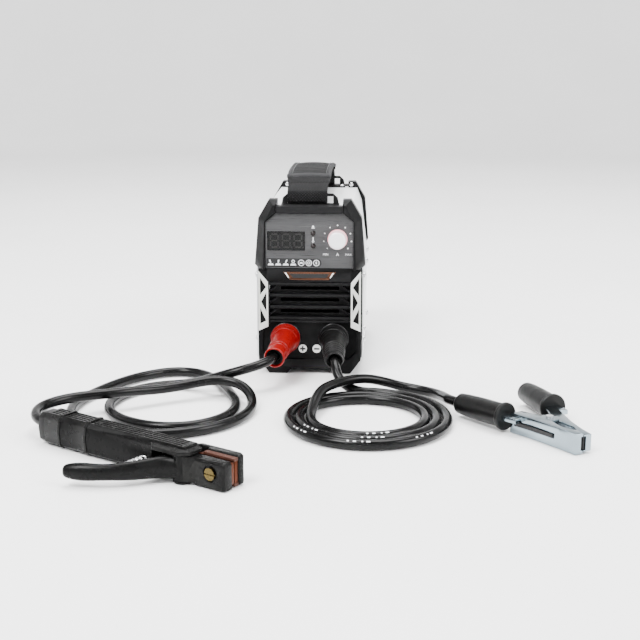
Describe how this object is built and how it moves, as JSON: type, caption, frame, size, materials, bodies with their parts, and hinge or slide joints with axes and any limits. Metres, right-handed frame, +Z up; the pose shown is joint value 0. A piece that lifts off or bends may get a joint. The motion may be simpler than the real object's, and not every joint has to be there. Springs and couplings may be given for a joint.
{
  "type": "stick welding inverter",
  "caption": "Small portable inverter power source for stick welding, with a strap handle, control panel, coiled leads, a lever electrode holder and a spring earth clamp.",
  "frame": {"origin": "on the floor under the middle of the case, at the underside of the base tray", "axes": "+Z up, -Y out of the front panel, +X to the right as seen by someone facing the front panel"},
  "size_m": [0.4669, 0.5388, 0.199],
  "materials": {
    "cover_paint": "satin silver-white powder coat",
    "front_plastic": "fine-grained black moulding",
    "rear_steel": "black powder coat",
    "panel_metal": "brushed, satin",
    "window_plastic": "dark tinted, polished",
    "segment_lens": "unlit red",
    "lamp_lens": "dark lens",
    "knob_plastic": "white with a pink rim",
    "bright_steel": "turned, plain",
    "circuit_board": "solder-masked laminate",
    "silver_trim": "silver",
    "badge_metal": "copper-coloured, brushed",
    "white_marks": "moulded white",
    "black_insulator": "glossy black phenolic",
    "brass": "machined",
    "aluminium": "extruded",
    "component_black": "moulded",
    "ferrite": "sintered, dull",
    "copper": "copper, plain",
    "webbing": "woven grey-black",
    "red_rubber": "smooth red",
    "black_rubber": "smooth black",
    "cable_rubber": "glossy black sheath",
    "holder_plastic": "satin black, ribbed top",
    "heat_insulator": "dark reddish-brown fibre",
    "zinc_steel": "bluish zinc plating"
  },
  "bodies": {
    "case": {"side_cover": "cover_paint", "front_mask": "front_plastic", "front_louvre": "front_plastic", "front_bezel": "front_plastic", "rear_bezel": "front_plastic", "fan_frame": "front_plastic", "power_switch_housing": "front_plastic", "rear_panel": "rear_steel", "base_tray": "rear_steel", "strap_brackets": "rear_steel", "fan_guard": "rear_steel", "control_panel": "panel_metal", "display_window": "window_plastic", "display_segments": "segment_lens", "status_lamps": "lamp_lens", "potentiometer": "bright_steel", "case_screws": "bright_steel", "pivot_pins": "bright_steel", "holder_spring": "bright_steel", "clamp_spring": "bright_steel", "control_board": "circuit_board", "main_board": "circuit_board", "side_grilles": "silver_trim", "badge_plate": "badge_metal", "polarity_marks": "white_marks", "socket_collars": "black_insulator", "mains_gland": "black_insulator", "socket_bushes": "brass", "plug_pins": "brass", "heat_sinks": "aluminium", "power_transistors": "component_black", "filter_capacitors": "component_black", "output_choke": "component_black", "display_module": "component_black", "transformer_core": "ferrite", "transformer_winding": "copper", "bus_bars": "copper", "cable_lugs": "copper", "holder_fixed_jaw": "copper", "strap_webbing": "webbing", "strap_pad": "webbing", "plug_boot_positive": "red_rubber", "plug_boot_negative": "black_rubber", "clamp_grip_fixed": "black_rubber", "holder_end_cap": "black_rubber", "ground_cable": "cable_rubber", "electrode_cable": "cable_rubber", "holder_handle": "holder_plastic", "holder_head_cover": "holder_plastic", "holder_insulators": "heat_insulator", "clamp_arm_fixed": "zinc_steel"},
    "knob": {"current_knob": "knob_plastic", "potentiometer_shaft": "bright_steel"},
    "rocker": {"power_rocker": "black_insulator"},
    "fan": {"fan_rotor": "black_insulator"},
    "lever": {"holder_lever": "holder_plastic", "holder_lever_jaw": "copper", "holder_jaw_screw": "brass"},
    "clamp_arm": {"clamp_arm_moving": "zinc_steel", "clamp_grip_moving": "black_rubber"}
  },
  "joints": [
    {"name": "current_knob_turn", "type": "hinge", "parent": "case", "child": "knob", "pos_m": [0.0276, -0.1, 0.136], "axis": [0, -1, 0], "range_deg": [-140, 140]},
    {"name": "power_rocker_tilt", "type": "hinge", "parent": "case", "child": "rocker", "pos_m": [0.026, 0.0955, 0.0305], "axis": [0, 0, 1], "range_deg": [0, 14]},
    {"name": "fan_spin", "type": "hinge", "parent": "case", "child": "fan", "pos_m": [0, 0.08, 0.084], "axis": [0, 1, 0], "continuous": true},
    {"name": "holder_lever_squeeze", "type": "hinge", "parent": "case", "child": "lever", "pos_m": [-0.07536, -0.40325, 0.0137], "axis": [0, 0, -1], "range_deg": [0, 18], "stiffness_Nm_per_rad": 1.2, "springref_deg": -20.05, "deforming": ["holder_spring"]},
    {"name": "clamp_jaw_open", "type": "hinge", "parent": "case", "child": "clamp_arm", "pos_m": [0.21292, -0.28484, 0.00875], "axis": [0, 0, 1], "range_deg": [0, 25], "stiffness_Nm_per_rad": 1.5, "springref_deg": -20.05, "deforming": ["clamp_spring"]}
  ]
}
